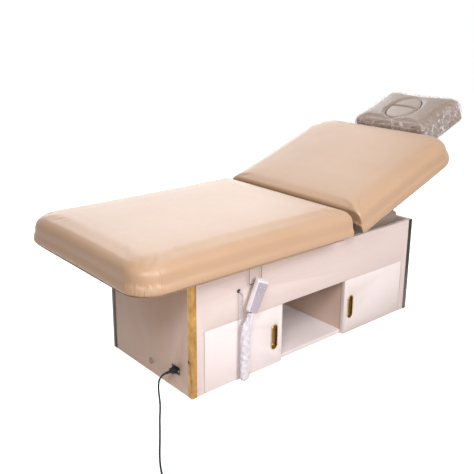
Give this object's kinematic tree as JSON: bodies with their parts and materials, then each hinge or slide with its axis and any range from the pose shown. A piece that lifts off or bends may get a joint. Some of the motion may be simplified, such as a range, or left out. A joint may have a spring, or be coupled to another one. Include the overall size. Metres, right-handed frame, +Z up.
{
  "type": "spa bed with cabinet base",
  "caption": "Padded spa bed on lifting columns in a cabinet with doors, raising back, sliding and tilting headrest with face hole and plug, and a wired handset.",
  "frame": {"origin": "on the floor at the centre of the cabinet's footprint, at the middle glide", "axes": "+X along the bed towards the headrest, -Y the side with the doors, +Z up"},
  "size_m": [2.2402, 1.1468, 0.9788],
  "materials": {
    "laminate": "satin",
    "skirt_board": "satin",
    "plywood": "matte",
    "leatherette": "soft satin",
    "gold_trim": "polished",
    "bronze_pull": "polished",
    "frame_steel": "satin",
    "bright_steel": "brushed",
    "hanger_wire": "satin",
    "black_plastic": "satin",
    "beige_plastic": "satin",
    "cord_rubber": "matte",
    "curly_rubber": "satin",
    "handset_plastic": "satin",
    "button_plastic": "satin"
  },
  "bodies": {
    "cabinet": {"front_panel": "laminate", "rear_panel": "laminate", "head_end_panel": "laminate", "foot_end_panel": "laminate", "compartment_dividers": "laminate", "cupboard_boards": "laminate", "compartment_back": "laminate", "compartment_top": "laminate", "base_panel": "laminate", "floor_glides": "black_plastic", "corner_trims": "gold_trim", "hole_cap": "beige_plastic", "cord_grommet": "black_plastic", "hinge_plates": "bright_steel", "mains_inlet": "black_plastic", "cord_connector": "black_plastic", "power_cord": "cord_rubber", "power_cord_coil": "cord_rubber", "mains_plug": "black_plastic", "outer_columns": "frame_steel", "column_bolts": "bright_steel", "column_collars": "black_plastic", "lift_actuators": "black_plastic", "control_box": "black_plastic", "handset_cord": "curly_rubber"},
    "left_door": {"door_left": "laminate", "pull_left": "bronze_pull", "hinge_arms_left": "bright_steel"},
    "right_door": {"door_right": "laminate", "pull_right": "bronze_pull", "hinge_arms_right": "bright_steel"},
    "lift": {"inner_columns": "frame_steel", "lift_rods": "bright_steel", "cross_members": "frame_steel", "bed_rails": "frame_steel", "skirt_sides": "skirt_board", "skirt_ends": "skirt_board", "leg_board": "plywood", "leg_cushion": "leatherette", "back_hinge_brackets": "frame_steel", "back_hinge_pins": "bright_steel", "handset_hanger": "hanger_wire", "actuator_hanger": "frame_steel"},
    "backrest": {"back_frame": "frame_steel", "lug_pin": "bright_steel", "back_board": "plywood", "back_cushion": "leatherette", "headrest_tubes": "frame_steel"},
    "actuator": {"back_actuator": "black_plastic"},
    "actuator_rod": {"back_actuator_rod": "bright_steel"},
    "carriage": {"headrest_carriage": "bright_steel"},
    "headrest": {"headrest_board": "plywood", "headrest_cushion": "leatherette", "headrest_tilt_plates": "frame_steel"},
    "plug": {"face_plug": "leatherette"},
    "handset_body": {"handset": "handset_plastic"},
    "bed_up_button": {"button_bed_up": "button_plastic"},
    "bed_down_button": {"button_bed_down": "button_plastic"},
    "back_up_button": {"button_back_up": "button_plastic"},
    "back_down_button": {"button_back_down": "button_plastic"}
  },
  "joints": [
    {"name": "bed_lift", "type": "slide", "parent": "cabinet", "child": "lift", "axis": [0, 0, 1], "range_m": [0, 0.165], "deforming": ["handset_cord"]},
    {"name": "back_tilt", "type": "hinge", "parent": "lift", "child": "backrest", "pos_m": [0.15, 0, 0.502], "axis": [0, -1, 0], "range_deg": [-20, 10]},
    {"name": "back_actuator_swing", "type": "hinge", "parent": "lift", "child": "actuator", "pos_m": [0.19, 0.1, 0.335], "axis": [0, -1, 0], "range_deg": [-12.2, 6.3]},
    {"name": "back_actuator_stroke", "type": "slide", "parent": "actuator", "child": "actuator_rod", "axis": [0.612, 0, 0.7909], "range_m": [-0.049, 0.025]},
    {"name": "headrest_slide", "type": "slide", "parent": "backrest", "child": "carriage", "axis": [0.9397, 0, 0.342], "range_m": [0, 0.09]},
    {"name": "headrest_tilt", "type": "hinge", "parent": "carriage", "child": "headrest", "pos_m": [0.85784, 0, 0.76176], "axis": [0, -1, 0], "range_deg": [-40, 5]},
    {"name": "face_plug_lift", "type": "slide", "parent": "headrest", "child": "plug", "axis": [-0.342, 0, 0.9397], "range_m": [0, 0.06]},
    {"name": "door_left", "type": "hinge", "parent": "cabinet", "child": "left_door", "pos_m": [-0.59, -0.2775, 0.1334], "axis": [0, 0, -1], "range_deg": [0, 95], "deforming": ["handset_cord"]},
    {"name": "door_right", "type": "hinge", "parent": "cabinet", "child": "right_door", "pos_m": [0.59, -0.2775, 0.1334], "axis": [0, 0, 1], "range_deg": [0, 95]},
    {"name": "handset_ride", "type": "slide", "parent": "cabinet", "child": "handset_body", "axis": [0, 0, 1], "range_m": [0, 0.165]},
    {"name": "bed_up_press", "type": "slide", "parent": "handset_body", "child": "bed_up_button", "axis": [0, 1, 0], "range_m": [0, 0.0008], "stiffness_N_per_m": 300},
    {"name": "bed_down_press", "type": "slide", "parent": "handset_body", "child": "bed_down_button", "axis": [0, 1, 0], "range_m": [0, 0.0008], "stiffness_N_per_m": 300},
    {"name": "back_up_press", "type": "slide", "parent": "handset_body", "child": "back_up_button", "axis": [0, 1, 0], "range_m": [0, 0.0008], "stiffness_N_per_m": 300},
    {"name": "back_down_press", "type": "slide", "parent": "handset_body", "child": "back_down_button", "axis": [0, 1, 0], "range_m": [0, 0.0008], "stiffness_N_per_m": 300}
  ],
  "couplings": [
    {"joint": "back_actuator_swing", "follows": "back_tilt", "ratio": 0.59},
    {"joint": "back_actuator_stroke", "follows": "back_tilt", "m_per_rad": 0.136},
    {"joint": "handset_ride", "follows": "bed_lift", "ratio": 1}
  ]
}
